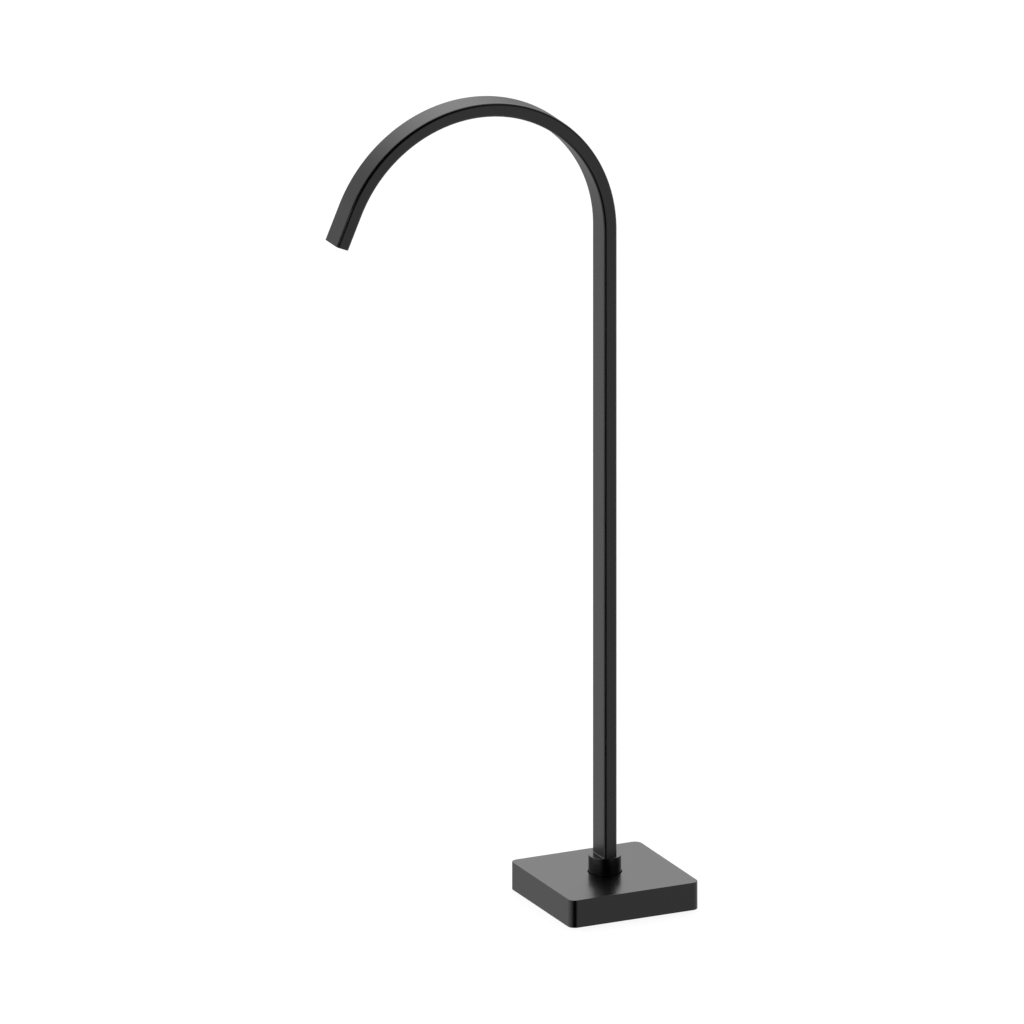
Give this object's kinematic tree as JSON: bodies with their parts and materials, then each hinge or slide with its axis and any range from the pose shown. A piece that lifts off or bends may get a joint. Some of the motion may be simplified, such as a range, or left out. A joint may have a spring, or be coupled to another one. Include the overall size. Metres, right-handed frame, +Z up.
{
  "type": "floor standing bath filler",
  "caption": "Tall gooseneck bath spout of flat rectangular tube that swivels on a round collar over a square floor cover.",
  "frame": {"origin": "the riser's axis where it meets the floor: the centre of the floor bolts' pattern, on the underside", "axes": "+Z up along the riser; the spout reaches along -Y; the tube's wide side lies along X"},
  "size_m": [0.148, 0.3886, 0.8937],
  "materials": {
    "black_coat": "satin black coat over metal",
    "black_plastic": "moulded",
    "white_plastic": "turned slippery plastic",
    "steel": "stainless, machined",
    "brass": "turned, unplated",
    "rubber": "moulded"
  },
  "bodies": {
    "base": {"swivel_post": "brass", "stop_pin": "steel", "thrust_washer": "white_plastic", "lower_glide_ring": "white_plastic", "upper_glide_ring": "white_plastic", "lower_seal_ring": "rubber", "upper_seal_ring": "rubber", "inlet_strainer": "steel", "floor_flange": "steel", "post_screws": "steel", "levelling_screws": "steel", "base_gasket": "rubber"},
    "spout": {"spout_tube": "black_coat", "swivel_collar": "black_coat", "retaining_screws": "steel", "outlet_frame": "black_plastic", "outlet_mesh": "steel", "flow_straightener": "black_plastic", "outlet_seal": "rubber", "outlet_screw": "steel"},
    "cover": {"cover_plate": "black_coat", "centring_ring": "rubber", "rim_seal": "rubber"}
  },
  "joints": [
    {"name": "spout_swivel", "type": "hinge", "parent": "base", "child": "spout", "pos_m": [0, 0, 0.03], "axis": [0, 0, 1], "range_deg": [-90, 90]},
    {"name": "cover_lift", "type": "slide", "parent": "base", "child": "cover", "axis": [0, 0, 1], "range_m": [0, 0.65]}
  ]
}
